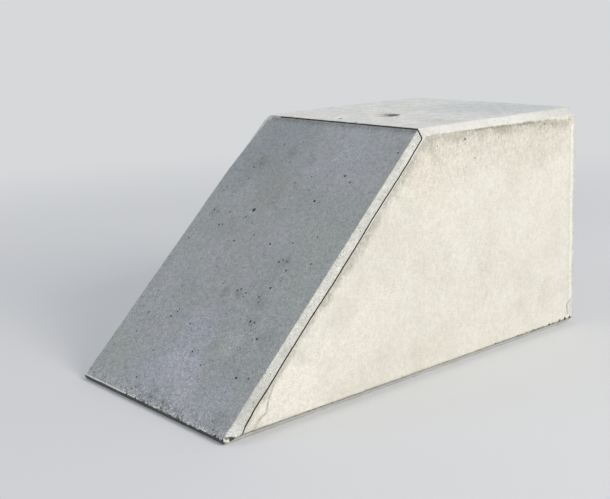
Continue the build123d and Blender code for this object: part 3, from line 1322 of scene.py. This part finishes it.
# The strip along the base is dirty at its upper edge and worn pale at its lower edge
marked_finish(
    block_materials["base_strip"], ((220, 219, 212), (206, 206, 200), (228, 226, 219)), 24.0, 0.5, 0.4,
    bands=[
        (edge_place(0.0, side_chamfer), (-0.707, 0, -0.707), 0.011, tone(132, 130, 120), 0.85),
        (edge_place(0.0, -side_chamfer), (0.707, 0, 0.707), 0.01, tone(240, 239, 232), 0.8),
    ],
)

# The recess wall carries painted shade and light: dark on the right of the picture as a painted shadow, and
# pale round its upper rim as painted light on its far wall
picture_right = Vector((math.cos(camera_heading), math.sin(camera_heading), 0))
recess_shadow_side = Vector((0, recess_y, height)) + picture_right * recess_diameter / 2
marked_finish(
    recess_material_painted_shade_and_light, ((222, 220, 213), (208, 207, 200), (230, 227, 220)), 40.0, 0.5, 0.3,
    bands=[
        (recess_shadow_side, -picture_right, 0.046, tone(72, 70, 62), 1.0),
        (Vector((0, recess_y, height + 0.001)), (0, 0, -1), 0.0046, tone(214, 213, 207), 0.95),
    ],
)

# The faces that don't show in the photograph, the toe, the joint and what is broken. The toe face's
# near-black tone is painted shade
for material, tones, cloud_size, grain, speck_share in (
    (block_materials["fin"], ((218, 218, 213), (200, 200, 196), (228, 228, 223)), 60.0, 0.45, 0.3),
    # the toe face: near black, painted shade for the shadow under its undercut
    (block_materials["toe_face"], ((90, 91, 88), (78, 79, 76), (102, 103, 100)), 24.0, 0.4, 0.3),
    (block_materials["back"], ((224, 221, 211), (214, 211, 202), (229, 227, 219)), 9.0, 0.24, 0.12),
    (block_materials["underside"], ((192, 190, 182), (180, 179, 172), (200, 197, 190)), 9.0, 0.3, 0.15),
    # the joint: dark grey dirt together with painted shade
    (joint_dirt_and_shade_material, ((88, 86, 74), (66, 66, 56), (112, 107, 94)), 60.0, 0.5, 0.3),
    (hole_material, ((94, 96, 96), (76, 78, 78), (112, 112, 110)), 120.0, 0.4, 0.2),
    (crumb_material, ((160, 162, 157), (104, 106, 102), (204, 204, 200)), 220.0, 0.9, 0.4),
    (chip_material, ((206, 204, 196), (184, 182, 172), (216, 213, 204)), 60.0, 0.5, 0.45),
):
    marked_finish(material, tones, cloud_size, grain, speck_share)


# Studio: a pale floor that fades into an even background, a soft lamp on the stone's right and a weak
# one in front of its left.
backdrop_tone = tone(214, 216, 218)
floor_reach = 30.0
fade_start = 1.1
fade_end = 3.4


def seen_plainly(tree):
    """1 for what the camera, a mirror or a window sees, 0 for the light that falls on the stone."""
    way = tree.nodes.new("ShaderNodeLightPath").outputs
    seen = work_out(tree, "ADD", way["Is Camera Ray"], way["Is Glossy Ray"], clamp=True)
    return work_out(tree, "ADD", seen, way["Is Transmission Ray"], clamp=True)


floor_mesh = bpy.data.meshes.new("floor")
floor_corners = [(x * floor_reach, y * floor_reach, 0) for x, y in ((-1, -1), (1, -1), (1, 1), (-1, 1))]
floor_mesh.from_pydata(floor_corners, [], [(0, 1, 2, 3)])
floor = placed("floor", floor_mesh)
floor_material = bpy.data.materials.new("floor")
floor_mesh.materials.append(floor_material)
floor_material.use_nodes = True
tree = floor_material.node_tree
surface = tree.nodes["Principled BSDF"]
surface.inputs["Base Color"].default_value = tone(226, 227, 229)
surface.inputs["Roughness"].default_value = 0.9
surface.inputs["Specular IOR Level"].default_value = 0.2
far = work_out_vector(tree, "LENGTH", tree.nodes.new("ShaderNodeTexCoord").outputs["Object"])
fade = map_range(tree, far, (fade_start, fade_end), change="SMOOTHSTEP")
fade_seen = work_out(tree, "MULTIPLY", fade, seen_plainly(tree))
glow = place_node(tree, "ShaderNodeEmission", {"Color": backdrop_tone, "Strength": 1.0})
mixed = place_node(tree, "ShaderNodeMixShader", {0: fade_seen, 1: surface, 2: glow})
tree.links.new(mixed.outputs[0], tree.nodes["Material Output"].inputs[0])

world = bpy.data.worlds.new("studio")
world.use_nodes = True
tree = world.node_tree
sky = tree.nodes["Background"]
sky.inputs["Color"].default_value = (0.56, 0.575, 0.6, 1.0)
backdrop = place_node(tree, "ShaderNodeBackground", {"Color": backdrop_tone, "Strength": 1.0})
mixed = place_node(tree, "ShaderNodeMixShader", {0: seen_plainly(tree), 1: sky, 2: backdrop})
tree.links.new(mixed.outputs[0], tree.nodes["World Output"].inputs[0])
bpy.context.scene.world = world
bpy.context.scene.view_settings.view_transform = "Standard"


def soft_lamp(name, place, size, power, colour):
    """A square soft lamp that points at the stone."""
    data = bpy.data.lights.new(name, "AREA")
    data.size = size
    data.energy = power
    data.color = colour
    lamp = placed(name, data)
    lamp.location = place
    lamp.rotation_euler = (lamp.location - Vector((0, 0, height / 2))).to_track_quat("Z", "Y").to_euler()


soft_lamp("key_lamp", (4.6, 1.4, 3.1), 2.2, 150, (1.0, 0.968, 0.91))
soft_lamp("fill_lamp", (-2.6, -3.2, 2.2), 2.0, 16, (0.95, 0.97, 1.0))

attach(kerb_stone, "root")
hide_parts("kerb_stone")
